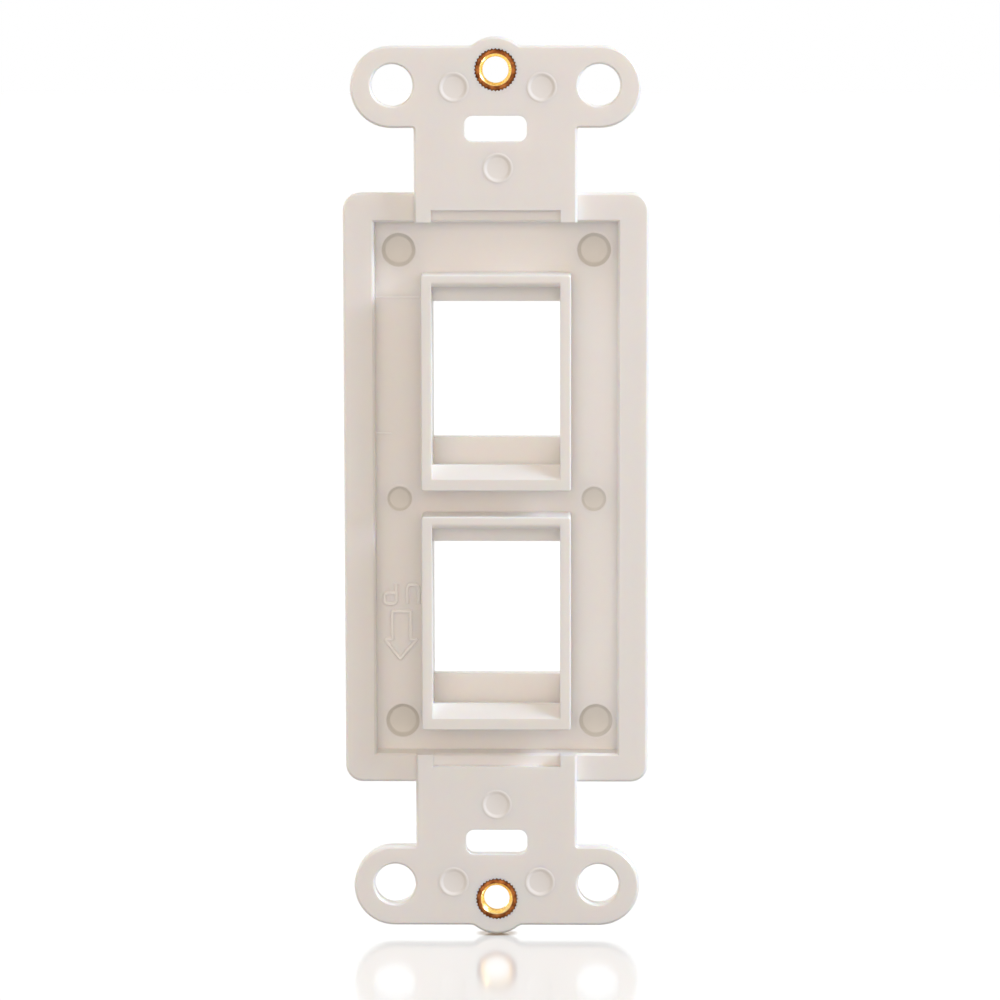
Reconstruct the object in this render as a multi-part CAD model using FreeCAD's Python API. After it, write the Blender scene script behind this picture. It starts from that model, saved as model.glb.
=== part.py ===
import FreeCAD, Part
import math
import os

from FreeCAD import Vector

# Two-port snap-in faceplate insert for a decorator wall plate, all sizes in millimetres.
# The frame stands upright: +Z up, -Y towards the room, +Y towards the wall.
# y = 0 is the plane where the ears lie on the wall, and x = z = 0 is midway between the fixing points.

# Fixing ears
PLATE_SCREW_SPACING = 96.8
BOX_SCREW_SPACING = 83.3
EAR_THICKNESS = 1.75
WING_SPAN = 33.4
WING_HEIGHT = 9.4
INSERT_ABOVE_WING = 1.75
NECK_WIDTH = 18.8
NECK_CORNER = 0.2
EDGE_CHAMFER = 0.25

# Middle of the moulding's outline, against the middle of its fixing points
OUTLINE_OFFSET = -0.2

# Holes in the ears
WING_HOLE_SPACING = 23.8
WING_HOLE_DIAMETER = 4.8
HOLE_CHAMFER = 0.2
SLOT_LENGTH = 7.2
SLOT_HEIGHT = 3.0
SLOT_CORNER = 1.0

# Knurled brass insert and the boss round it
INSERT_LENGTH = 2.05
INSERT_DIAMETER = 4.95
KNURL_DEPTH = 0.16
KNURL_TEETH = 36
WAIST_LENGTH = 0.6
WAIST_DEPTH = 0.35
THREAD_BORE = 3.0
THREAD_LEAD_IN = 0.42
THREAD_EXIT = 0.2
BOSS_WALL = 1.53
BOSS_BLEND = 1.0

# Raised face that fills the plate's opening
FACE_WIDTH = 33.0
FACE_HEIGHT = 66.6
FACE_CORNER = 1.4
FACE_ROUND = 0.8
FACE_DEPTH = 7.6

# Flange that stands out round the face, behind the wall plate's rim
FLANGE_BORDER = 1.15
FLANGE_STEP = 1.1
FLANGE_THICKNESS = 1.9
FLANGE_CORNER = 2.0

# Recess in the rear of the face
SIDE_WALL = 2.42
END_WALL = 2.2
FACE_PLATE = 3.5
RECESS_LIP = 0.25

# Pocket that ends each ear, between two short rails
POCKET_HEIGHT = 1.4
POCKET_WIDTH = 14.9

# Ports
PORT_SPACING = 28.05
PORT_OFFSET = -0.45
WINDOW_WIDTH = 14.85
WINDOW_HEIGHT = 16.2
PORT_SIDE_WALL = 1.25
PORT_HOOK_WALL = 1.4
PORT_LATCH_WALL = 1.35
PORT_PROUD = 1.0
PORT_CORNER = 0.35
RIM_CHAMFER = 0.12

# Hook ledge and latch of a port
HOOK_LEDGE = 1.85
HOOK_LIP = 5.1
HOOK_ROUND = 0.6
LATCH_CLEARANCE = 4.25
LATCH_LIP = 2.0
CATCH_REACH = 1.6
CATCH_THICKNESS = 2.0
CATCH_RAMP = 1.1
PORT_LEAD_IN = 0.3

# Ejector pin marks: shallow pits with sloping sides
MARK_SLOPE = 0.12
EAR_MARK_DIAMETER = 3.0
EAR_MARK_DEPTH = 0.15
EAR_MARK_SPACING = 10.1
EAR_MARK_BELOW_INSERT = 2.0
NECK_MARK_BELOW_INSERT = 11.25
UPPER_EAR_MARK_SHIFT = -0.24
CORNER_MARK_DIAMETER = 3.9
CORNER_MARK_DEPTH = 0.6
CORNER_MARK_SPACING_X = 22.7
CORNER_MARK_HIGH_Z = 27.5
CORNER_MARK_LOW_Z = -27.9
LOW_MARK_SHIFT = -0.27
MIDDLE_MARK_DIAMETER = 2.9
MIDDLE_MARK_DEPTH = 0.3

# A cutter passes this far beyond the face that it opens
OVERRUN = 1.0

# Two points closer than this are one
TOLERANCE = 1e-4

INSERT_Z = PLATE_SCREW_SPACING / 2
WING_CENTRE_Z = INSERT_Z - INSERT_ABOVE_WING
BOSS_RADIUS = INSERT_DIAMETER / 2 + BOSS_WALL
FLANGE_WIDTH = FACE_WIDTH + 2 * FLANGE_BORDER
FLANGE_HEIGHT = FACE_HEIGHT + 2 * FLANGE_BORDER
FLANGE_REAR = -FLANGE_STEP
FLANGE_FRONT = FLANGE_REAR - FLANGE_THICKNESS
FACE_FRONT = -FACE_DEPTH
FLOOR = FACE_FRONT + FACE_PLATE
RECESS_WIDTH = FACE_WIDTH - 2 * SIDE_WALL
RECESS_HEIGHT = FACE_HEIGHT - 2 * END_WALL
RAIL_END = RECESS_HEIGHT / 2
PORT_WIDTH = WINDOW_WIDTH + 2 * PORT_SIDE_WALL


def block(width, low_z, high_z, front, rear):
    """A box, centred on x = 0, between two heights and two depths."""
    corner = Vector(-width / 2, front, low_z)
    return Part.makeBox(width, rear - front, high_z - low_z, corner)


def peg(radius, front, rear, x, z):
    """A round cylinder along Y."""
    return Part.makeCylinder(radius, rear - front, Vector(x, front, z), Vector(0, 1, 0))


def cone(radius_front, radius_rear, front, rear, x, z):
    """A round taper along Y."""
    return Part.makeCone(radius_front, radius_rear, rear - front, Vector(x, front, z), Vector(0, 1, 0))


def edges_along_y(shape, test):
    """The straight edges along Y whose middle (x, z) passes the test."""
    found = []
    for edge in shape.Edges:
        box, middle = edge.BoundBox, edge.CenterOfMass
        upright = box.XLength < TOLERANCE and box.ZLength < TOLERANCE < box.YLength
        if upright and test(middle.x, middle.z):
            found.append(edge)
    return found


def edges_at_depth(shape, y):
    """The edges that lie wholly in the plane at depth y."""
    found = []
    for edge in shape.Edges:
        box = edge.BoundBox
        if abs(box.YMin - y) < TOLERANCE and abs(box.YMax - y) < TOLERANCE:
            found.append(edge)
    return found


def bar_along_x(profile, width):
    """A bar along X, centred on x = 0, whose section is given as (y, z) points."""
    points = [Vector(-width / 2, y, z) for y, z in profile + profile[:1]]
    return Part.Face(Part.makePolygon(points)).extrude(Vector(width, 0, 0))


def rectangle(width, low_z, high_z, y):
    """A rectangular wire in the plane at depth y, centred on x = 0."""
    half = width / 2
    corners = [(-half, low_z), (half, low_z), (half, high_z), (-half, high_z)]
    points = [Vector(x, y, z) for x, z in corners]
    return Part.makePolygon(points + points[:1])


def rounded_block(width, low_z, high_z, front, rear, corner):
    """A box with its four edges along Y rounded."""
    shape = block(width, low_z, high_z, front, rear)
    return shape.makeFillet(corner, edges_along_y(shape, lambda x, z: True))


def upper_ear():
    """Wings, neck and insert boss as one plate, with the neck run on into the recess."""
    end_radius = WING_HEIGHT / 2
    reach = WING_SPAN / 2 - end_radius
    low = WING_CENTRE_Z - end_radius
    high = WING_CENTRE_Z + end_radius
    wing = block(2 * reach, low, high, -EAR_THICKNESS, 0)
    for side in (-1, 1):
        wing = wing.fuse(peg(end_radius, -EAR_THICKNESS, 0, side * reach, WING_CENTRE_Z))
    neck = block(NECK_WIDTH, RAIL_END - OVERRUN, WING_CENTRE_Z, -EAR_THICKNESS, 0)
    boss = peg(BOSS_RADIUS, -EAR_THICKNESS, 0, 0, INSERT_Z)
    plate = wing.fuse([neck, boss]).removeSplitter()

    def beside_boss(x, z):
        return abs(z - high) < TOLERANCE and abs(x) < BOSS_RADIUS

    def under_wing(x, z):
        return abs(z - low) < TOLERANCE and abs(abs(x) - NECK_WIDTH / 2) < TOLERANCE

    plate = plate.makeFillet(BOSS_BLEND, edges_along_y(plate, beside_boss))
    plate = plate.makeFillet(NECK_CORNER, edges_along_y(plate, under_wing))
    outline = []
    for edge in edges_at_depth(plate, 0):
        if edge.BoundBox.ZMax > RAIL_END + TOLERANCE:
            outline.append(edge)
    plate = plate.makeChamfer(EDGE_CHAMFER, outline)
    front_boss = peg(BOSS_RADIUS, -INSERT_LENGTH, -EAR_THICKNESS, 0, INSERT_Z)
    return plate.fuse(front_boss).removeSplitter()


def upper_ear_cutters():
    """The slot and the wing holes of the upper ear."""
    front = -INSERT_LENGTH - OVERRUN
    slot_z = BOX_SCREW_SPACING / 2
    slot = rounded_block(SLOT_LENGTH, slot_z - SLOT_HEIGHT / 2, slot_z + SLOT_HEIGHT / 2,
                         front, OVERRUN, SLOT_CORNER)
    cutters = [slot]
    radius = WING_HOLE_DIAMETER / 2
    for side in (-1, 1):
        x = side * WING_HOLE_SPACING / 2
        cutters.append(peg(radius, front, OVERRUN, x, WING_CENTRE_Z))
        cutters.append(cone(radius, radius + HOLE_CHAMFER, -HOLE_CHAMFER, 0, x, WING_CENTRE_Z))
    return cutters


def pin_mark(diameter, depth, surface, x, z):
    """A shallow round pit with a sloping side, in the surface at depth y."""
    radius = diameter / 2
    pit = cone(radius - MARK_SLOPE, radius, surface - depth, surface, x, z)
    return pit.fuse(peg(radius, surface, surface + OVERRUN, x, z))


def ear_marks():
    """Ejector pin marks on the rear of both ears."""
    marks = []
    for end, shift in ((1, UPPER_EAR_MARK_SHIFT), (-1, 0)):
        z = end * (INSERT_Z - EAR_MARK_BELOW_INSERT)
        for side in (-1, 1):
            x = side * EAR_MARK_SPACING / 2 + shift
            marks.append(pin_mark(EAR_MARK_DIAMETER, EAR_MARK_DEPTH, 0, x, z))
        z = end * (INSERT_Z - NECK_MARK_BELOW_INSERT)
        marks.append(pin_mark(EAR_MARK_DIAMETER, EAR_MARK_DEPTH, 0, shift, z))
    return marks


def rail_pocket():
    """The pocket between the rails that end an ear, down to the flange and the recess lip."""
    lip = FLANGE_REAR - RECESS_LIP
    return bar_along_x([
        (lip, RAIL_END - OVERRUN),
        (lip, RAIL_END),
        (FLANGE_REAR, RAIL_END + RECESS_LIP),
        (FLANGE_REAR, RAIL_END + POCKET_HEIGHT),
        (OVERRUN, RAIL_END + POCKET_HEIGHT),
        (OVERRUN, RAIL_END - OVERRUN),
    ], POCKET_WIDTH)


def both_ends(shapes):
    """The shapes of the upper end and their mirror images at the lower end."""
    return shapes + [shape.mirror(Vector(0, 0, 0), Vector(0, 0, 1)) for shape in shapes]


def recess(rear):
    """What is hollowed out of the raised face, up to the depth given as rear."""
    return block(RECESS_WIDTH, -RECESS_HEIGHT / 2, RECESS_HEIGHT / 2, FLOOR, rear)


def housing():
    """Flange and raised face, hollowed from the rear, with a lip round the recess."""
    flange = rounded_block(FLANGE_WIDTH, -FLANGE_HEIGHT / 2, FLANGE_HEIGHT / 2,
                           FLANGE_FRONT, FLANGE_REAR, FLANGE_CORNER)
    flange = flange.makeChamfer(EDGE_CHAMFER, edges_at_depth(flange, FLANGE_REAR))
    face = rounded_block(FACE_WIDTH, -FACE_HEIGHT / 2, FACE_HEIGHT / 2,
                         FACE_FRONT, FLANGE_FRONT, FACE_CORNER)
    face = face.makeFillet(FACE_ROUND, edges_at_depth(face, FACE_FRONT))
    shell = flange.fuse(face).removeSplitter().cut(recess(FLANGE_REAR + OVERRUN))
    lip = []
    for edge in edges_at_depth(shell, FLANGE_REAR):
        if edge.BoundBox.XMax < FACE_WIDTH / 2 and edge.BoundBox.ZMax < FACE_HEIGHT / 2:
            if edge.BoundBox.XMin > -FACE_WIDTH / 2 and edge.BoundBox.ZMin > -FACE_HEIGHT / 2:
                lip.append(edge)
    return shell.makeChamfer(RECESS_LIP, lip)


def blank():
    """Housing and ears in one, with the necks trimmed to the recess and their pockets cut.

    It is made round its own middle and then moved to where the fixing points are.
    """
    body = housing().fuse(both_ends([upper_ear()]))
    body = body.cut([recess(OVERRUN)] + both_ends([rail_pocket()]))
    return body.translated(Vector(0, 0, OUTLINE_OFFSET))


def port_levels(middle_z):
    """Heights of a port: window top and bottom, and the inner and outer walls of its sleeve."""
    top = middle_z + WINDOW_HEIGHT / 2
    bottom = middle_z - WINDOW_HEIGHT / 2
    inner_top = top + HOOK_LEDGE
    inner_bottom = bottom - LATCH_CLEARANCE
    return top, bottom, inner_top, inner_bottom


def port_sleeve(middle_z):
    """The sleeve of one port, from the face plate to its rim behind the flange."""
    top, bottom, inner_top, inner_bottom = port_levels(middle_z)
    sleeve = rounded_block(PORT_WIDTH, inner_bottom - PORT_LATCH_WALL, inner_top + PORT_HOOK_WALL,
                           FLOOR - FACE_PLATE / 2, PORT_PROUD, PORT_CORNER)
    return sleeve.makeChamfer(RIM_CHAMFER, edges_at_depth(sleeve, PORT_PROUD))


def port_cavity(middle_z):
    """What a port leaves open: window, hook ledge, latch clearance and the notch over the catch."""
    top, bottom, inner_top, inner_bottom = port_levels(middle_z)
    rear = PORT_PROUD + OVERRUN
    window = block(WINDOW_WIDTH, bottom, top, FACE_FRONT - OVERRUN, rear)
    hook = block(WINDOW_WIDTH, top - OVERRUN, inner_top, FACE_FRONT + HOOK_LIP, rear)
    latch = block(WINDOW_WIDTH, inner_bottom, bottom + OVERRUN, FACE_FRONT + LATCH_LIP, rear)
    lead_in = window_lead_in(top, bottom)
    opening = window.fuse([hook, hook_round(inner_top), latch, lead_in])
    return opening.cut(catch(inner_bottom))


def hook_round(inner_top):
    """What rounds off the edge of the rim above the hook ledge."""
    centre_y = PORT_PROUD - HOOK_ROUND
    centre_z = inner_top + HOOK_ROUND
    corner = block(WINDOW_WIDTH, inner_top - OVERRUN, centre_z, centre_y, PORT_PROUD + OVERRUN)
    round_bar = Part.makeCylinder(HOOK_ROUND, WINDOW_WIDTH + 2 * OVERRUN,
                                  Vector(-WINDOW_WIDTH / 2 - OVERRUN, centre_y, centre_z), Vector(1, 0, 0))
    return corner.cut(round_bar)


def window_lead_in(top, bottom):
    """The small chamfer round a window at the front face."""
    outer = rectangle(WINDOW_WIDTH + 2 * PORT_LEAD_IN, bottom - PORT_LEAD_IN, top + PORT_LEAD_IN, FACE_FRONT)
    inner = rectangle(WINDOW_WIDTH, bottom, top, FACE_FRONT + PORT_LEAD_IN)
    return Part.makeLoft([outer, inner], True, True)


def catch(inner_bottom):
    """The ramped bar that the latch of a jack snaps behind, on the lower wall of its sleeve."""
    rim = PORT_PROUD
    lip = inner_bottom + CATCH_REACH
    below = inner_bottom - OVERRUN
    return bar_along_x([
        (rim + OVERRUN, below),
        (rim + OVERRUN, inner_bottom),
        (rim, inner_bottom),
        (rim - CATCH_RAMP, lip),
        (rim - CATCH_THICKNESS, lip),
        (rim - CATCH_THICKNESS, below),
    ], WINDOW_WIDTH + 2 * OVERRUN)


def floor_marks():
    """Ejector pin marks sunk into the recess floor."""
    marks = []
    for side in (-1, 1):
        x = side * CORNER_MARK_SPACING_X / 2
        low_x = x + LOW_MARK_SHIFT
        marks.append(pin_mark(CORNER_MARK_DIAMETER, CORNER_MARK_DEPTH, FLOOR, x, CORNER_MARK_HIGH_Z))
        marks.append(pin_mark(CORNER_MARK_DIAMETER, CORNER_MARK_DEPTH, FLOOR, low_x, CORNER_MARK_LOW_Z))
        marks.append(pin_mark(MIDDLE_MARK_DIAMETER, MIDDLE_MARK_DEPTH, FLOOR, x, sleeve_gap_z()))
    return marks


def sleeve_gap_z():
    """The height midway between the two sleeves."""
    shift = (HOOK_LEDGE + PORT_HOOK_WALL - LATCH_CLEARANCE - PORT_LATCH_WALL) / 2
    return PORT_OFFSET + shift


def knurled_band(front, rear):
    """A straight-knurled band round the insert's axis, which lies on x = z = 0."""
    tip = INSERT_DIAMETER / 2
    root = tip - KNURL_DEPTH
    points = []
    for i in range(2 * KNURL_TEETH):
        angle = math.pi * i / KNURL_TEETH
        radius = tip if i % 2 == 0 else root
        points.append(Vector(radius * math.cos(angle), front, radius * math.sin(angle)))
    points.append(points[0])
    return Part.Face(Part.makePolygon(points)).extrude(Vector(0, rear - front, 0))


def insert_envelope():
    """The outside of the insert: two knurled bands and the waist that the plastic grips."""
    band = (INSERT_LENGTH - WAIST_LENGTH) / 2
    waist = peg(INSERT_DIAMETER / 2 - WAIST_DEPTH, -INSERT_LENGTH + band, -band, 0, 0)
    rear_band = knurled_band(-band, 0)
    front_band = knurled_band(-INSERT_LENGTH, -INSERT_LENGTH + band)
    return rear_band.fuse([waist, front_band])


def threaded_insert():
    """The brass insert with its screw bore, on x = z = 0."""
    bore = THREAD_BORE / 2
    hole = peg(bore, -INSERT_LENGTH - OVERRUN, OVERRUN, 0, 0)
    rear_mouth = cone(bore, bore + THREAD_LEAD_IN, -THREAD_LEAD_IN, 0, 0, 0)
    front_mouth = cone(bore + THREAD_EXIT, bore, -INSERT_LENGTH, -INSERT_LENGTH + THREAD_EXIT, 0, 0)
    return insert_envelope().cut(hole.fuse([rear_mouth, front_mouth]))


def insert_places():
    """Where the two inserts sit."""
    return {"upper": Vector(0, 0, INSERT_Z), "lower": Vector(0, 0, -INSERT_Z)}


def moulding():
    """The one-piece moulding: ears, flange, face, sleeves, with everything cut out of it."""
    ports = [side * PORT_SPACING / 2 + PORT_OFFSET for side in (1, -1)]
    body = blank().fuse([port_sleeve(z) for z in ports])
    cutters = both_ends(upper_ear_cutters()) + ear_marks() + floor_marks()
    cutters += [port_cavity(z) for z in ports]
    for place in insert_places().values():
        cutters.append(insert_envelope().translated(place))
    return body.removeSplitter().cut(cutters).removeSplitter()


def write(shape, name):
    """Writes one piece as parts/NAME.step."""
    solids = shape.Solids
    if len(solids) != 1 or not shape.isValid():
        raise ValueError(f"{name}: {len(solids)} solids, valid {shape.isValid()}")
    solids[0].exportStep(f"parts/{name}.step")
    box = solids[0].BoundBox
    print(name, [round(v, 3) for v in (box.XLength, box.YLength, box.ZLength)], round(solids[0].Volume, 2))


os.makedirs("parts", exist_ok=True)
write(moulding(), "faceplate_moulding")
for end, place in insert_places().items():
    write(threaded_insert().translated(place), f"threaded_insert_{end}")
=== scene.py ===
import math

import bmesh
import bpy
from mathutils import Matrix, Vector


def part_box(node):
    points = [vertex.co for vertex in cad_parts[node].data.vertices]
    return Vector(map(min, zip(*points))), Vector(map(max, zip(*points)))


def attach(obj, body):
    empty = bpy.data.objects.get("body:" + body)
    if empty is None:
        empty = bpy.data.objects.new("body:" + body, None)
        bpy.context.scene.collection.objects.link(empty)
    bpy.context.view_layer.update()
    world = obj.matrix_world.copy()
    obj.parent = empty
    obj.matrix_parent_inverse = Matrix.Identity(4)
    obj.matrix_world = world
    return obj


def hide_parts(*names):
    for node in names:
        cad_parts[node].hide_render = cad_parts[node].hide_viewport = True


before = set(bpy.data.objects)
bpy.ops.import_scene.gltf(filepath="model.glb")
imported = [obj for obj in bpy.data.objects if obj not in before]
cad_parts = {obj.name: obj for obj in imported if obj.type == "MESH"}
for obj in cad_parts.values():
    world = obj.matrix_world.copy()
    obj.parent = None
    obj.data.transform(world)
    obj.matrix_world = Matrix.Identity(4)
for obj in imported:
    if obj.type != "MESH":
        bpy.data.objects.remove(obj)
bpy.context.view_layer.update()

MM = 0.001
MOULDING = "faceplate_moulding"
INSERTS = ("threaded_insert_upper", "threaded_insert_lower")
moulding_low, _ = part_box(MOULDING)

# Surfaces of the moulding that carry marks, in metres along Y
EAR_REAR = 0.0
FACE_PLATE = 3.5 * MM
RECESS_FLOOR = moulding_low.y + FACE_PLATE

# Camera, as the photograph was taken: from the rear, a little above and a little to the right
CAMERA_TARGET = Vector((-0.4538, 0.0, -1.2414)) * MM
CAMERA_DISTANCE = 500 * MM
CAMERA_PITCH = 0.127
CAMERA_YAW = 0.018
CAMERA_ROLL = 0.0016
SENSOR_WIDTH = 36.0
FOCAL_LENGTH = 155.3
CAMERA_NEAR = 0.01

# The table: how far below the lower ear it lies, its size, and what a look at it is made of
TABLE_GAP = 0.14 * MM
TABLE_SIZE = 3.0
TABLE_MATTE = 0.3
TABLE_FAINT = 0.12
TABLE_WHITE = 0.985
TABLE_GLOSS = 0.48
TABLE_GLOSS_COLOUR = (1.0, 0.99, 0.975)
TABLE_ROUGHNESS = 0.14

# The painted contact shadow where the ear stands, a brown line put into the table's white: how far
# from the ear it reaches, and the shares of open room between which the table turns from brown to
# white
CONTACT_SHADOW_REACH = 0.9 * MM
CONTACT_SHADOW_RANGE = (0.4, 0.9)
CONTACT_SHADOW_BROWN = (0.30, 0.19, 0.10)

# Light: what a white surface that faces the lamp would send back, in linear red, green and blue
KEY_LIGHT = (0.56, 0.66, 0.80)
KEY_DIRECTION = Vector((-0.81, 0.17, 0.50))
KEY_SIZE = 0.16
RIM_LIGHT = (0.5, 0.5, 0.5)
RIM_DIRECTION = Vector((0.88, -0.38, 0.30))
RIM_SIZE = 0.3
LAMP_DISTANCE = 0.7

# Light from all round: a dim warm room, a bright soft box before the rear, a ceiling and a backdrop
ROOM_LIGHT = (0.14, 0.11, 0.07)
FRONT_LIGHT = (3.65, 3.17, 2.88)
FRONT_POWER = 8.0
TOP_LIGHT = (0.45, 0.46, 0.40)
TOP_POWER = 2.0
BACK_LIGHT = (0.9, 0.9, 0.9)
BACK_POWER = 2.0

# Between these shares of the way to the soft box, a mirrored ray stops seeing the white backdrop
MIRROR_FADE = (0.35, 0.8)

# Screw thread and knurl of the brass bushes
THREAD_PITCH = 0.794 * MM
THREAD_DEPTH = 0.27 * MM
THREAD_CREST = 1.5 * MM
THREAD_FLAT = 0.25
REAR_LEAD_IN = 0.42 * MM
FRONT_LEAD_IN = 0.2 * MM
KNURL_TEETH = 36
KNURL_DEPTH = 0.16 * MM
KNURL_CHAMFER = 0.1 * MM
THREAD_ROWS = 48
COLUMNS_PER_TOOTH = 4
BUSH_CREASE = 35

# Raised marks: the section's steps and fullness, how deep its edge and its foot lie, how high an
# open end is, how corners and turns are limited, and where the shading creases
RIDGE_STEPS = 10
RIDGE_FULLNESS = 3.0
RIDGE_SINK = 0.004 * MM
RIDGE_FOOT = 0.04 * MM
RIDGE_END = 0.7
CORNER_STEPS = 5
CORNER_PART = 2.2
MITRE_LEAST = 0.4
MARK_CREASE = 50

# The orientation mark and the seams; the corners are in millimetres, as their paths are
MARK_WIDTH = 0.46 * MM
MARK_HEIGHT = 0.26 * MM
LETTER_U_CORNER = 0.55
LETTER_P_CORNER = 0.5
ARROW_CORNER = 0.16
SEAM_WIDTH = 0.2 * MM
SEAM_HEIGHT = 0.04 * MM

# Ejector pin marks: a low rim round a soft-edged dish that lies in the pit of the moulding
PIT_COLUMNS = 64
PIT_STEPS = 8
RIM_OUT = 0.1 * MM
RIM_SPREAD = 0.24 * MM
RIM_HEIGHT = 0.025 * MM
RIM_EDGE = 0.02 * MM

# The hidden underside of a pin mark: how deep it lies, and how far in and out its corners are
PIT_UNDER = 0.03 * MM
UNDER_IN = 0.17 * MM
UNDER_OUT = 0.05 * MM
UNDER_SPREAD = 0.8 * RIM_SPREAD

# Each kind of pin mark: radius, depth, width of its slope and how much the dish fills the pit
EAR_PIT = (1.5 * MM, 0.15 * MM, 0.34 * MM, 0.065 * MM)
CORNER_PIT = (1.95 * MM, 0.6 * MM, 0.5 * MM, 0.015 * MM)
MIDDLE_PIT = (1.45 * MM, 0.3 * MM, 0.4 * MM, 0.015 * MM)

# Where the pin marks lie, as (x, z) in millimetres
UPPER_EAR_PIT_PLACES = ((4.81, 46.4), (-5.29, 46.4), (-0.24, 37.15))
LOWER_EAR_PIT_PLACES = ((5.05, -46.4), (-5.05, -46.4), (0, -37.15))
EAR_PIT_PLACES = UPPER_EAR_PIT_PLACES + LOWER_EAR_PIT_PLACES
CORNER_PIT_PLACES = ((11.35, 27.5), (-11.35, 27.5), (11.08, -27.9), (-11.62, -27.9))
MIDDLE_PIT_PLACES = ((11.35, -1.625), (-11.35, -1.625))

# Plastic and brass, in linear red, green and blue
PLASTIC_DARK = (0.905, 0.882, 0.862)
PLASTIC_PALE = (0.935, 0.914, 0.896)
# Painted light: the raised mark and the seams are a paler plastic, standing in for the light their
# raised strokes catch
PAINTED_LIGHT_MARK_DARK = (0.965, 0.955, 0.945)
PAINTED_LIGHT_MARK_PALE = (0.985, 0.978, 0.970)
# Painted shade: the dishes of the recess floor's pin marks are a darker plastic, standing in for
# the shade inside the pits
PIT_SHADE_DARK = (0.730, 0.705, 0.655)
PIT_SHADE_PALE = (0.775, 0.750, 0.700)
BROWN_DARK = (0.11, 0.032, 0.010)
BROWN_PALE = (0.29, 0.105, 0.030)
# Painted reflection: the bright gold of the bore and its mouth stands in for the light its walls
# mirror
REFLECTION_GOLD_DARK = (0.82, 0.57, 0.20)
REFLECTION_GOLD_PALE = (0.96, 0.82, 0.44)

# Noises of the surfaces, as (scale, detail), and the middle part of a noise that is put to use
CLOUDS = (90.0, 3.0)
HAZE = (260.0, 4.0)
GRAIN = (2600.0, 2.0)
STAIN = (1500.0, 4.0)
SMEAR = (4200.0, 3.0)
CUT = (6000.0, 2.0)
NOISE_MIDDLE = (0.25, 0.75)
STAIN_MIDDLE = (0.38, 0.62)

# Surface of the plastic: roughness, light that passes into it, and how soft edges and grain are
PLASTIC_ROUGHNESS = (0.30, 0.40)
PLASTIC_IOR = 1.52
MOULDING_GLOW = 0.5
MARK_GLOW = 0.0
GLOW_RADIUS = (1.0, 0.72, 0.45)
GLOW_SCALE = 0.9 * MM
EDGE_RADIUS = 0.05 * MM
EDGE_SAMPLES = 6
GRAIN_DEPTH = 0.01 * MM
GRAIN_STRENGTH = 0.25

# Surface of the brass: a bright gold painted reflection up to a radius, and browned past it
REFLECTION_RADIUS = 1.85 * MM
REFLECTION_EDGE = 0.05 * MM
BRASS_ROUGHNESS = (0.20, 0.30)
BROWNED_DULL = 0.12
CUT_DEPTH = 0.01 * MM
CUT_STRENGTH = 0.4


def put(tree, kind, **inputs):
    """A node with its unlinked inputs set by name, spaces written as underscores."""
    node = tree.nodes.new(kind)
    for key, value in inputs.items():
        node.inputs[key.replace("_", " ")].default_value = value
    return node


def maths(tree, operation, first, second):
    """The result of a sum on two sockets or numbers."""
    node = tree.nodes.new("ShaderNodeMath")
    node.operation = operation
    for socket, value in zip(node.inputs, (first, second)):
        if isinstance(value, bpy.types.NodeSocket):
            tree.links.new(value, socket)
        else:
            socket.default_value = value
    return node.outputs["Value"]


def square(tree, source):
    """A socket's value times itself."""
    return maths(tree, "POWER", maths(tree, "ABSOLUTE", source, 0.0), 2.0)


def ramp(tree, source, from_range, to_range):
    """A value stretched from one range to another, and held at its ends."""
    node = put(tree, "ShaderNodeMapRange", From_Min=from_range[0], From_Max=from_range[1],
               To_Min=to_range[0], To_Max=to_range[1])
    tree.links.new(source, node.inputs["Value"])
    return node.outputs["Result"]


def noise(tree, coordinates, pattern):
    """A noise over the object's own coordinates, of a scale and a detail."""
    scale, detail = pattern
    node = put(tree, "ShaderNodeTexNoise", Scale=scale, Detail=detail)
    tree.links.new(coordinates.outputs["Object"], node.inputs["Vector"])
    return node.outputs["Fac"]


def two_tones(tree, factor, first, second):
    """A mix of two colours, each a socket or red, green and blue."""
    node = tree.nodes.new("ShaderNodeMix")
    node.data_type = "RGBA"
    tree.links.new(factor, node.inputs["Factor"])
    for name, colour in (("A", first), ("B", second)):
        socket = [s for s in node.inputs if s.name == name and s.type == "RGBA"][0]
        if isinstance(colour, bpy.types.NodeSocket):
            tree.links.new(colour, socket)
        else:
            socket.default_value = (*colour, 1)
    return [s for s in node.outputs if s.type == "RGBA"][0]


def relief(tree, height, distance, strength, normal=None):
    """A bump of a real height."""
    node = put(tree, "ShaderNodeBump", Strength=strength, Distance=distance)
    tree.links.new(height, node.inputs["Height"])
    if normal is not None:
        tree.links.new(normal, node.inputs["Normal"])
    return node.outputs["Normal"]


def new_material(name):
    """A node material with a Principled shader."""
    material = bpy.data.materials.new(name)
    material.use_nodes = True
    tree = material.node_tree
    tree.nodes.clear()
    output = tree.nodes.new("ShaderNodeOutputMaterial")
    shader = tree.nodes.new("ShaderNodeBsdfPrincipled")
    tree.links.new(shader.outputs["BSDF"], output.inputs["Surface"])
    return material, tree, shader


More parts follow.
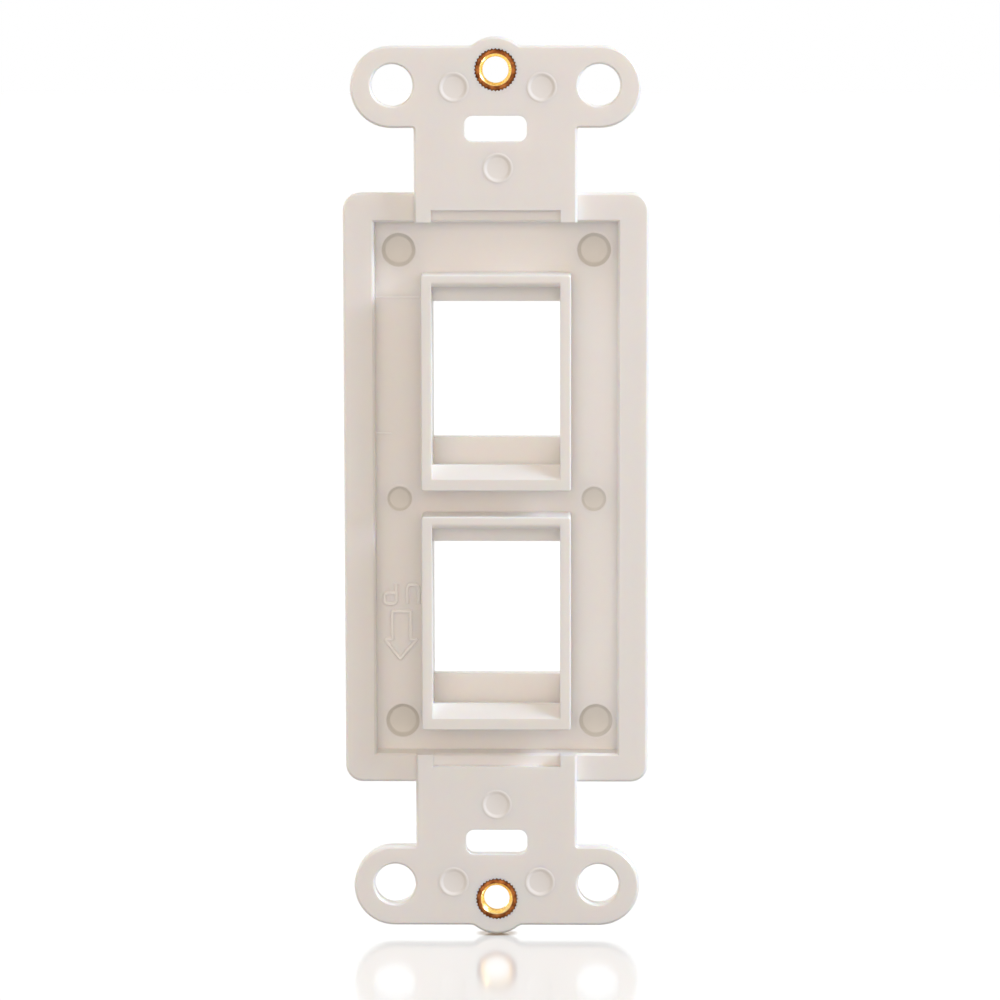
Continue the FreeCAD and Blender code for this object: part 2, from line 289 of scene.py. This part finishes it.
def white_plastic(name, darker, paler, glow_through):
    """Glossy warm-white moulded plastic; the share given of it lets light through."""
    material, tree, shader = new_material(name)
    coordinates = tree.nodes.new("ShaderNodeTexCoord")
    shader.inputs["IOR"].default_value = PLASTIC_IOR
    shader.inputs["Subsurface Weight"].default_value = glow_through
    shader.inputs["Subsurface Radius"].default_value = GLOW_RADIUS
    shader.inputs["Subsurface Scale"].default_value = GLOW_SCALE
    clouds = noise(tree, coordinates, CLOUDS)
    tree.links.new(two_tones(tree, clouds, darker, paler), shader.inputs["Base Color"])
    haze = noise(tree, coordinates, HAZE)
    roughness = ramp(tree, haze, NOISE_MIDDLE, PLASTIC_ROUGHNESS)
    tree.links.new(roughness, shader.inputs["Roughness"])
    edges = put(tree, "ShaderNodeBevel", Radius=EDGE_RADIUS)
    edges.samples = EDGE_SAMPLES
    grain = noise(tree, coordinates, GRAIN)
    normal = relief(tree, grain, GRAIN_DEPTH, GRAIN_STRENGTH, edges.outputs["Normal"])
    tree.links.new(normal, shader.inputs["Normal"])
    return material


def brass(axis_height):
    """Machined brass: browned on the outside, with a bright gold painted reflection in the bore and
    its mouth.
    """
    material, tree, shader = new_material("brass")
    coordinates = tree.nodes.new("ShaderNodeTexCoord")
    shader.inputs["Metallic"].default_value = 1.0
    axes = tree.nodes.new("ShaderNodeSeparateXYZ")
    tree.links.new(coordinates.outputs["Object"], axes.inputs["Vector"])
    height = maths(tree, "SUBTRACT", maths(tree, "ABSOLUTE", axes.outputs["Z"], 0.0), axis_height)
    squares = maths(tree, "ADD", square(tree, axes.outputs["X"]), square(tree, height))
    radius = maths(tree, "SQRT", squares, 0.0)
    stain = ramp(tree, noise(tree, coordinates, STAIN), STAIN_MIDDLE, (0.0, 1.0))
    outside = two_tones(tree, stain, BROWN_DARK, BROWN_PALE)
    smear = noise(tree, coordinates, SMEAR)
    # Painted reflection: a bright gold base colour inside the radius, for the light the bore
    # mirrors
    painted_reflection_gold = two_tones(tree, smear, REFLECTION_GOLD_DARK, REFLECTION_GOLD_PALE)
    reflection_band = (REFLECTION_RADIUS - REFLECTION_EDGE, REFLECTION_RADIUS + REFLECTION_EDGE)
    browned_past_reflection = ramp(tree, radius, reflection_band, (0.0, 1.0))
    tree.links.new(two_tones(tree, browned_past_reflection, painted_reflection_gold, outside), shader.inputs["Base Color"])
    polish = ramp(tree, smear, NOISE_MIDDLE, BRASS_ROUGHNESS)
    dull = maths(tree, "MULTIPLY", browned_past_reflection, BROWNED_DULL)
    tree.links.new(maths(tree, "ADD", polish, dull), shader.inputs["Roughness"])
    cut = noise(tree, coordinates, CUT)
    tree.links.new(relief(tree, cut, CUT_DEPTH, CUT_STRENGTH), shader.inputs["Normal"])
    return material


def knurl_radius(angle, radius):
    """Radius of the knurled outside at an angle: sharp ridges over flat roots."""
    phase = (angle * KNURL_TEETH / (2 * math.pi)) % 1.0
    return radius - KNURL_DEPTH * (1 - abs(2 * phase - 1))


def thread_radius(angle, y):
    """Radius of the threaded bore at an angle and a depth: flat crests and V roots."""
    phase = (y / THREAD_PITCH + angle / (2 * math.pi)) % 1.0
    wave = max(0.0, (1 + THREAD_FLAT) * (1 - abs(2 * phase - 1)) - THREAD_FLAT)
    return THREAD_CREST + THREAD_DEPTH * wave


def bush_section(angle, radius, rear, front):
    """Closed section of a bush at an angle, as (radius, y) points."""
    outer = knurl_radius(angle, radius)
    points = [
        (radius - KNURL_DEPTH - KNURL_CHAMFER, rear),
        (outer - KNURL_CHAMFER, rear - KNURL_CHAMFER / 4),
        (outer, rear - KNURL_CHAMFER),
        (outer, front + KNURL_CHAMFER),
        (outer - KNURL_CHAMFER, front + KNURL_CHAMFER / 4),
        (radius - KNURL_DEPTH - KNURL_CHAMFER, front),
    ]
    length = rear - front
    for i in range(THREAD_ROWS + 1):
        y = front + length * i / THREAD_ROWS
        mouth = max(REAR_LEAD_IN - (rear - y), FRONT_LEAD_IN - (y - front), 0.0)
        points.append((max(thread_radius(angle, y), THREAD_CREST + mouth), y))
    return points


def threaded_bush(name, node, material):
    """A knurled bush with its screw thread, in the place of its plain solid."""
    low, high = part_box(node)
    middle_x = (low.x + high.x) / 2
    middle_z = (low.z + high.z) / 2
    radius = (high.x - low.x) / 2
    columns = KNURL_TEETH * COLUMNS_PER_TOOTH
    mesh = bmesh.new()
    rings = []
    for column in range(columns):
        angle = 2 * math.pi * column / columns
        ring = []
        for r, y in bush_section(angle, radius, high.y, low.y):
            place = (middle_x + r * math.cos(angle), y, middle_z + r * math.sin(angle))
            ring.append(mesh.verts.new(place))
        rings.append(ring)
    for column in range(columns):
        here, there = rings[column], rings[(column + 1) % columns]
        for i in range(len(here)):
            j = (i + 1) % len(here)
            mesh.faces.new((here[i], here[j], there[j], there[i]))
    bmesh.ops.recalc_face_normals(mesh, faces=mesh.faces)
    piece = mesh_object(name, mesh, material)
    shade_smooth(piece, BUSH_CREASE)
    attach(piece, "root")
    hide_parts(node)


def mesh_object(name, mesh, material):
    """An object made of a finished bmesh."""
    data = bpy.data.meshes.new(name)
    mesh.to_mesh(data)
    mesh.free()
    data.materials.append(material)
    piece = bpy.data.objects.new(name, data)
    bpy.context.scene.collection.objects.link(piece)
    return piece


def shade_smooth(piece, degrees):
    """Smooth shading with creases where faces meet at more than an angle."""
    piece.data.polygons.foreach_set("use_smooth", [True] * len(piece.data.polygons))
    piece.data.set_sharp_from_angle(angle=math.radians(degrees))


def raised_lines(name, paths, surface, width, height, material):
    """Low soft ridges on a surface that faces the rear, along (x, z) paths in millimetres.

    Each path is a list of points and whether it closes.
    """
    mesh = bmesh.new()
    for points, closed in paths:
        ridge(mesh, [Vector((x, 0, z)) * MM for x, z in points], closed, surface, width, height)
    bmesh.ops.recalc_face_normals(mesh, faces=mesh.faces)
    piece = mesh_object(name, mesh, material)
    shade_smooth(piece, MARK_CREASE)
    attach(piece, "root")


def ridge(mesh, points, closed, surface, width, height):
    """One ridge that swells softly out of the surface, with mitred turns and a foot below it."""
    count = len(points)
    rings = []
    for i, point in enumerate(points):
        before = points[i - 1] if closed or i > 0 else None
        after = points[(i + 1) % count] if closed or i < count - 1 else None
        side = mitre(before, point, after)
        taper = 1.0 if closed or 0 < i < count - 1 else RIDGE_END
        ring = []
        for k in range(RIDGE_STEPS + 1):
            across = 2 * k / RIDGE_STEPS - 1
            rise = taper * height * (1 - abs(across) ** RIDGE_FULLNESS) - RIDGE_SINK
            place = point + side * (width / 2 * across)
            ring.append(mesh.verts.new((place.x, surface + rise, place.z)))
        for across in (1, -1):
            place = point + side * (width / 2 * across)
            ring.append(mesh.verts.new((place.x, surface - RIDGE_FOOT, place.z)))
        rings.append(ring)
    pairs = count if closed else count - 1
    for i in range(pairs):
        here, there = rings[i], rings[(i + 1) % count]
        for k in range(len(here)):
            m = (k + 1) % len(here)
            mesh.faces.new((here[k], here[m], there[m], there[k]))
    if not closed:
        mesh.faces.new(rings[0])
        mesh.faces.new(rings[-1][::-1])


def rounded(points, closed, cut):
    """A path whose corners are rounded, starting a distance before each of them."""
    count = len(points)
    result = []
    for i, point in enumerate(points):
        if not closed and i in (0, count - 1):
            result.append(point)
            continue
        here = Vector(point)
        before, after = Vector(points[i - 1]), Vector(points[(i + 1) % count])
        first = here + (before - here).normalized() * min(cut, (before - here).length / CORNER_PART)
        last = here + (after - here).normalized() * min(cut, (after - here).length / CORNER_PART)
        for k in range(CORNER_STEPS + 1):
            t = k / CORNER_STEPS
            place = first * (1 - t) ** 2 + here * (2 * t * (1 - t)) + last * t ** 2
            result.append((place.x, place.y))
    return result, closed


def mitre(before, point, after):
    """Unit side direction at a point of a path in the XZ plane, stretched where the path turns."""
    along = []
    if before is not None:
        along.append((point - before).normalized())
    if after is not None:
        along.append((after - point).normalized())
    sides = [Vector((-a.z, 0, a.x)) for a in along]
    if len(sides) == 1:
        return sides[0]
    middle = (sides[0] + sides[1]).normalized()
    return middle / max(MITRE_LEAST, middle.dot(sides[0]))


def orientation_mark(material):
    """The moulded word and arrow that show which end goes up, with places in millimetres."""
    top, foot = -14.05, -11.78
    u_left, u_right = 9.15, 10.50
    letter_u = [(u_left, top), (u_left, foot), (u_right, foot), (u_right, top)]
    stem, stem_foot, bowl_right, bowl_foot = 11.78, -11.66, 13.18, -12.74
    letter_p = [
        (stem, stem_foot), (stem, top),
        (bowl_right, top), (bowl_right, bowl_foot), (stem, bowl_foot),
    ]
    shaft_left, shaft_right = 10.13, 12.27
    arrow_top, barb_z, tip = -14.94, -18.26, (11.37, -20.58)
    barb_left, barb_right = 9.38, 13.14
    arrow = [
        (shaft_right, arrow_top), (shaft_right, barb_z), (barb_right, barb_z), tip,
        (barb_left, barb_z), (shaft_left, barb_z), (shaft_left, arrow_top),
    ]
    paths = [
        rounded(letter_u, False, LETTER_U_CORNER),
        rounded(letter_p, False, LETTER_P_CORNER),
        rounded(arrow, True, ARROW_CORNER),
    ]
    raised_lines("orientation_mark", paths, RECESS_FLOOR, MARK_WIDTH, MARK_HEIGHT, material)


def pit_section(radius, depth, slope, fill):
    """Closed section of a pin mark as (radius, rise), from its rim over the dish and back below."""
    crest = radius + RIM_OUT
    points = []
    for k in range(PIT_STEPS):
        swell = (1 - math.cos(math.pi * k / PIT_STEPS)) / 2
        outward = RIM_SPREAD * (1 - k / PIT_STEPS)
        points.append((crest + outward, (RIM_HEIGHT + RIDGE_SINK) * swell - RIDGE_SINK))
    for k in range(PIT_STEPS + 1):
        fall = (1 - math.cos(math.pi * k / PIT_STEPS)) / 2
        inward = (RIM_OUT + slope) * k / PIT_STEPS
        points.append((crest - inward, RIM_HEIGHT - (RIM_HEIGHT + depth - fill) * fall))
    points.append((0.0, fill - depth))
    points.append((0.0, -depth - PIT_UNDER))
    points.append((radius - UNDER_IN, -depth - PIT_UNDER))
    points.append((radius + UNDER_OUT, -2 * PIT_UNDER))
    points.append((crest + UNDER_SPREAD, -2 * PIT_UNDER))
    return points


def turned(mesh, section, centre_x, surface, centre_z):
    """A closed solid turned about an axis along Y; points on the axis become its poles."""
    rings = []
    for radius, rise in section:
        count = PIT_COLUMNS if radius > 0 else 1
        ring = []
        for column in range(count):
            angle = 2 * math.pi * column / PIT_COLUMNS
            x = centre_x + radius * math.cos(angle)
            z = centre_z + radius * math.sin(angle)
            ring.append(mesh.verts.new((x, surface + rise, z)))
        rings.append(ring * (PIT_COLUMNS // count))
    for i, here in enumerate(rings):
        there = rings[(i + 1) % len(rings)]
        for column in range(PIT_COLUMNS):
            after = (column + 1) % PIT_COLUMNS
            corners = []
            for corner in (here[column], there[column], there[after], here[after]):
                if corner not in corners:
                    corners.append(corner)
            if len(corners) > 2:
                mesh.faces.new(corners)


def pin_marks(name, marks, surface, dish_material, rim_material):
    """The ejector pin marks of one surface, as one piece, with rims of their own material."""
    mesh = bmesh.new()
    for shape, places in marks:
        section = pit_section(*shape)
        for x, z in places:
            turned(mesh, section, x * MM, surface, z * MM)
    bmesh.ops.recalc_face_normals(mesh, faces=mesh.faces)
    piece = mesh_object(name, mesh, dish_material)
    piece.data.materials.append(rim_material)
    for polygon in piece.data.polygons:
        polygon.material_index = int(polygon.center.y > surface - RIM_EDGE)
    shade_smooth(piece, MARK_CREASE)
    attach(piece, "root")


def parting_lines(material):
    """Fine seams left by the parts of the mould, with places in millimetres."""
    paths = [
        ([(14.05, 22.0), (9.0, 22.0)], False),
        ([(14.05, 6.1), (12.2, 6.1)], False),
    ]
    raised_lines("recess_seams", paths, RECESS_FLOOR, SEAM_WIDTH, SEAM_HEIGHT, material)


def area_light(name, direction, size, strength):
    """A square lamp that gives a surface facing it the strength, in linear red, green and blue."""
    data = bpy.data.lights.new(name, "AREA")
    peak = max(strength)
    data.energy = peak * math.pi ** 2 * LAMP_DISTANCE ** 2
    data.color = [value / peak for value in strength]
    data.size = size
    lamp = bpy.data.objects.new(name, data)
    lamp.location = direction.normalized() * LAMP_DISTANCE
    lamp.rotation_euler = direction.to_track_quat("Z", "Y").to_euler()
    bpy.context.scene.collection.objects.link(lamp)


def glow(tree, colour, factor):
    """Light from all round, in linear red, green and blue, times a socket or a number."""
    peak = max(colour)
    node = put(tree, "ShaderNodeBackground", Color=(*[value / peak for value in colour], 1))
    tree.links.new(maths(tree, "MULTIPLY", factor, peak), node.inputs["Strength"])
    return node.outputs["Background"]


def added(tree, first, second):
    """Two shaders added together."""
    node = tree.nodes.new("ShaderNodeAddShader")
    tree.links.new(first, node.inputs[0])
    tree.links.new(second, node.inputs[1])
    return node.outputs["Shader"]


def mixed(tree, factor, first, second):
    """Two shaders mixed by a socket or a number."""
    node = tree.nodes.new("ShaderNodeMixShader")
    if isinstance(factor, bpy.types.NodeSocket):
        tree.links.new(factor, node.inputs["Fac"])
    else:
        node.inputs["Fac"].default_value = factor
    tree.links.new(first, node.inputs[1])
    tree.links.new(second, node.inputs[2])
    return node.outputs["Shader"]


def lobe(tree, toward, power):
    """How far a direction turns to one side, from nothing at right angles to one, as a power."""
    return maths(tree, "POWER", maths(tree, "MAXIMUM", toward, 0.0), power)


def mirrored_rays(tree, path):
    """One where a ray comes by way of a mirror or through glass."""
    glossy, through = path.outputs["Is Glossy Ray"], path.outputs["Is Transmission Ray"]
    return maths(tree, "MAXIMUM", glossy, through)


def studio_world():
    """A white backdrop to look at, also in metal and gloss, and the room's light on the object."""
    world = bpy.data.worlds.new("studio")
    bpy.context.scene.world = world
    world.use_nodes = True
    tree = world.node_tree
    tree.nodes.clear()
    output = tree.nodes.new("ShaderNodeOutputWorld")
    coordinates = tree.nodes.new("ShaderNodeTexCoord")
    axes = tree.nodes.new("ShaderNodeSeparateXYZ")
    tree.links.new(coordinates.outputs["Generated"], axes.inputs["Vector"])
    depth = axes.outputs["Y"]
    front = lobe(tree, depth, FRONT_POWER)
    behind = lobe(tree, maths(tree, "MULTIPLY", depth, -1.0), BACK_POWER)
    above = lobe(tree, axes.outputs["Z"], TOP_POWER)
    light = added(tree, glow(tree, FRONT_LIGHT, front), glow(tree, BACK_LIGHT, behind))
    light = added(tree, light, glow(tree, TOP_LIGHT, above))
    light = added(tree, light, glow(tree, ROOM_LIGHT, 1.0))
    path = tree.nodes.new("ShaderNodeLightPath")
    aside = ramp(tree, depth, MIRROR_FADE, (1.0, 0.0))
    mirrored = maths(tree, "MULTIPLY", mirrored_rays(tree, path), aside)
    seen = maths(tree, "MAXIMUM", path.outputs["Is Camera Ray"], mirrored)
    backdrop = put(tree, "ShaderNodeBackground", Color=(1, 1, 1, 1))
    shown = mixed(tree, seen, light, backdrop.outputs["Background"])
    tree.links.new(shown, output.inputs["Surface"])


def studio_floor():
    """A polished white table under the lower ear, with a painted contact shadow browned into its
    white where the ear stands close.
    """
    mesh = bmesh.new()
    bmesh.ops.create_grid(mesh, x_segments=1, y_segments=1, size=TABLE_SIZE)
    material = bpy.data.materials.new("white_table")
    material.use_nodes = True
    tree = material.node_tree
    tree.nodes.clear()
    output = tree.nodes.new("ShaderNodeOutputMaterial")
    matte = put(tree, "ShaderNodeBsdfDiffuse", Color=(*[TABLE_MATTE] * 3, 1))
    faint = put(tree, "ShaderNodeBsdfDiffuse", Color=(*[TABLE_FAINT] * 3, 1))
    white = put(tree, "ShaderNodeEmission", Strength=TABLE_WHITE)
    # Painted contact shadow: the white emission turns brown where ambient occlusion finds little
    # open room near the ear
    contact_shadow = put(tree, "ShaderNodeAmbientOcclusion", Distance=CONTACT_SHADOW_REACH)
    open_share = ramp(tree, contact_shadow.outputs["AO"], CONTACT_SHADOW_RANGE, (0.0, 1.0))
    tree.links.new(two_tones(tree, open_share, CONTACT_SHADOW_BROWN, (1, 1, 1)), white.inputs["Color"])
    gloss = put(tree, "ShaderNodeBsdfGlossy", Color=(*TABLE_GLOSS_COLOUR, 1),
                Roughness=TABLE_ROUGHNESS)
    shown = added(tree, faint.outputs["BSDF"], white.outputs["Emission"])
    shown = mixed(tree, TABLE_GLOSS, shown, gloss.outputs["BSDF"])
    path = tree.nodes.new("ShaderNodeLightPath")
    seen = maths(tree, "MAXIMUM", path.outputs["Is Camera Ray"], mirrored_rays(tree, path))
    tree.links.new(mixed(tree, seen, matte.outputs["BSDF"], shown), output.inputs["Surface"])
    floor = mesh_object("table", mesh, material)
    floor.location = (0, 0, moulding_low.z - TABLE_GAP)


def camera():
    """The photograph's camera."""
    level = math.cos(CAMERA_PITCH)
    back = Vector((-math.sin(CAMERA_YAW) * level, math.cos(CAMERA_YAW) * level,
                   math.sin(CAMERA_PITCH)))
    right = Vector((0, 0, 1)).cross(back).normalized()
    up = back.cross(right)
    turned_right = right * math.cos(CAMERA_ROLL) - up * math.sin(CAMERA_ROLL)
    turned_up = up * math.cos(CAMERA_ROLL) + right * math.sin(CAMERA_ROLL)
    axes = Matrix((turned_right, turned_up, back)).transposed()
    data = bpy.data.cameras.new("camera")
    data.sensor_width = SENSOR_WIDTH
    data.sensor_fit = "HORIZONTAL"
    data.lens = FOCAL_LENGTH
    data.clip_start = CAMERA_NEAR
    eye = bpy.data.objects.new("camera", data)
    eye.matrix_world = Matrix.Translation(CAMERA_TARGET + back * CAMERA_DISTANCE) @ axes.to_4x4()
    bpy.context.scene.collection.objects.link(eye)
    bpy.context.scene.camera = eye


plastic = white_plastic("white_plastic", PLASTIC_DARK, PLASTIC_PALE, MOULDING_GLOW)
# Paler plastic whose colour is painted light, for the raised mark and the seams
painted_light_mark_plastic = white_plastic("white_plastic_marks_painted_light", PAINTED_LIGHT_MARK_DARK, PAINTED_LIGHT_MARK_PALE, MARK_GLOW)
ear_plastic = white_plastic("white_plastic_ear_marks", PLASTIC_DARK, PLASTIC_PALE, MARK_GLOW)
# Darker plastic whose colour is painted shade, for the dishes in the recess floor's pits
pit_shade_plastic = white_plastic("white_plastic_pits_painted_shade", PIT_SHADE_DARK, PIT_SHADE_PALE, MARK_GLOW)
insert_low, insert_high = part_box(INSERTS[0])
metal = brass((insert_low.z + insert_high.z) / 2)
for material_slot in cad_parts[MOULDING].material_slots:
    material_slot.material = plastic
for insert in INSERTS:
    threaded_bush(insert.replace("threaded_insert", "brass_bush"), insert, metal)
# The orientation mark takes the paler plastic of painted light
orientation_mark(painted_light_mark_plastic)
pin_marks("ear_pin_marks", ((EAR_PIT, EAR_PIT_PLACES),), EAR_REAR, ear_plastic, ear_plastic)
# The floor's dishes take the painted shade plastic; their rims, like the ear marks, take the plain
# one
pin_marks("floor_pin_marks", ((CORNER_PIT, CORNER_PIT_PLACES), (MIDDLE_PIT, MIDDLE_PIT_PLACES)),
          RECESS_FLOOR, pit_shade_plastic, ear_plastic)
# The seams take the paler plastic of painted light
parting_lines(painted_light_mark_plastic)
area_light("key_light", KEY_DIRECTION, KEY_SIZE, KEY_LIGHT)
area_light("rim_light", RIM_DIRECTION, RIM_SIZE, RIM_LIGHT)
studio_world()
studio_floor()
camera()
bpy.context.scene.view_settings.view_transform = "Standard"
